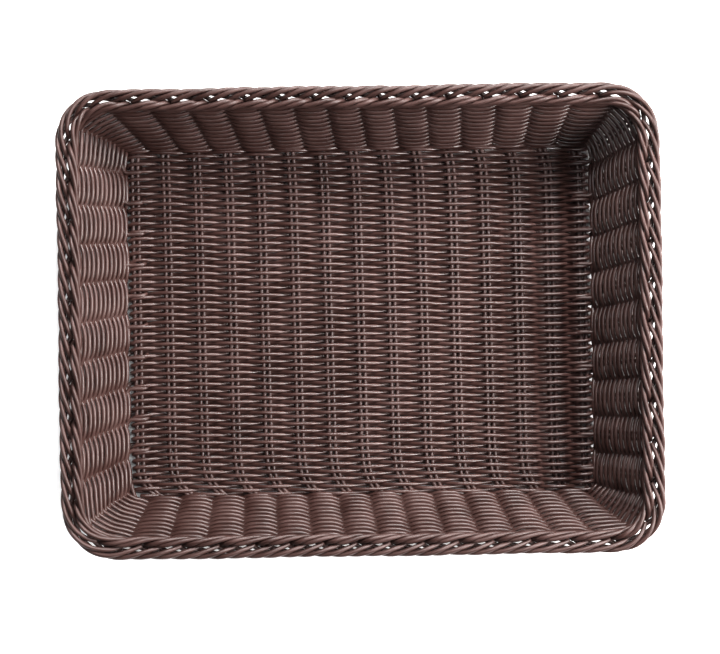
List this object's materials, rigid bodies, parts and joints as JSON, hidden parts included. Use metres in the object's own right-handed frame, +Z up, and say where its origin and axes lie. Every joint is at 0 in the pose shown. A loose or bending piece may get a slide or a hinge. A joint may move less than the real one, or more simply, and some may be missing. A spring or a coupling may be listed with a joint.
{
  "type": "bread basket",
  "caption": "Rectangular open bread basket woven from dark brown plastic cane, with flared walls and a plaited border.",
  "frame": {"origin": "centre of the basket's underside, on the surface that it stands on", "axes": "+X along the long sides, +Y along the short sides, +Z up through the open top"},
  "size_m": [0.398, 0.309, 0.07],
  "materials": {
    "weaver_cane": "satin",
    "stake_cane": "satin"
  },
  "bodies": {
    "root": {"floor_weave": "weaver_cane", "foot_weave": "weaver_cane", "wall_weave": "weaver_cane", "border_inner_plait": "stake_cane", "border_outer_plait": "stake_cane", "long_stake_01_a": "stake_cane", "long_stake_01_b": "stake_cane", "long_stake_02_a": "stake_cane", "long_stake_02_b": "stake_cane", "long_stake_03_a": "stake_cane", "long_stake_03_b": "stake_cane", "long_stake_04_a": "stake_cane", "long_stake_04_b": "stake_cane", "long_stake_05_a": "stake_cane", "long_stake_05_b": "stake_cane", "long_stake_06_a": "stake_cane", "long_stake_06_b": "stake_cane", "long_stake_07_a": "stake_cane", "long_stake_07_b": "stake_cane", "long_stake_08_a": "stake_cane", "long_stake_08_b": "stake_cane", "long_stake_09_a": "stake_cane", "long_stake_09_b": "stake_cane", "long_stake_10_a": "stake_cane", "long_stake_10_b": "stake_cane", "long_stake_11_a": "stake_cane", "long_stake_11_b": "stake_cane", "long_stake_12_a": "stake_cane", "long_stake_12_b": "stake_cane", "long_stake_13_a": "stake_cane", "long_stake_13_b": "stake_cane", "long_stake_14_a": "stake_cane", "long_stake_14_b": "stake_cane", "long_stake_15_a": "stake_cane", "long_stake_15_b": "stake_cane", "side_stake_left_01": "stake_cane", "side_stake_left_02": "stake_cane", "side_stake_left_03": "stake_cane", "side_stake_left_04": "stake_cane", "side_stake_left_05": "stake_cane", "side_stake_left_06": "stake_cane", "side_stake_left_07": "stake_cane", "side_stake_left_08": "stake_cane", "side_stake_left_09": "stake_cane", "side_stake_left_10": "stake_cane", "side_stake_left_11": "stake_cane", "side_stake_right_01": "stake_cane", "side_stake_right_02": "stake_cane", "side_stake_right_03": "stake_cane", "side_stake_right_04": "stake_cane", "side_stake_right_05": "stake_cane", "side_stake_right_06": "stake_cane", "side_stake_right_07": "stake_cane", "side_stake_right_08": "stake_cane", "side_stake_right_09": "stake_cane", "side_stake_right_10": "stake_cane"}
  },
  "joints": []
}
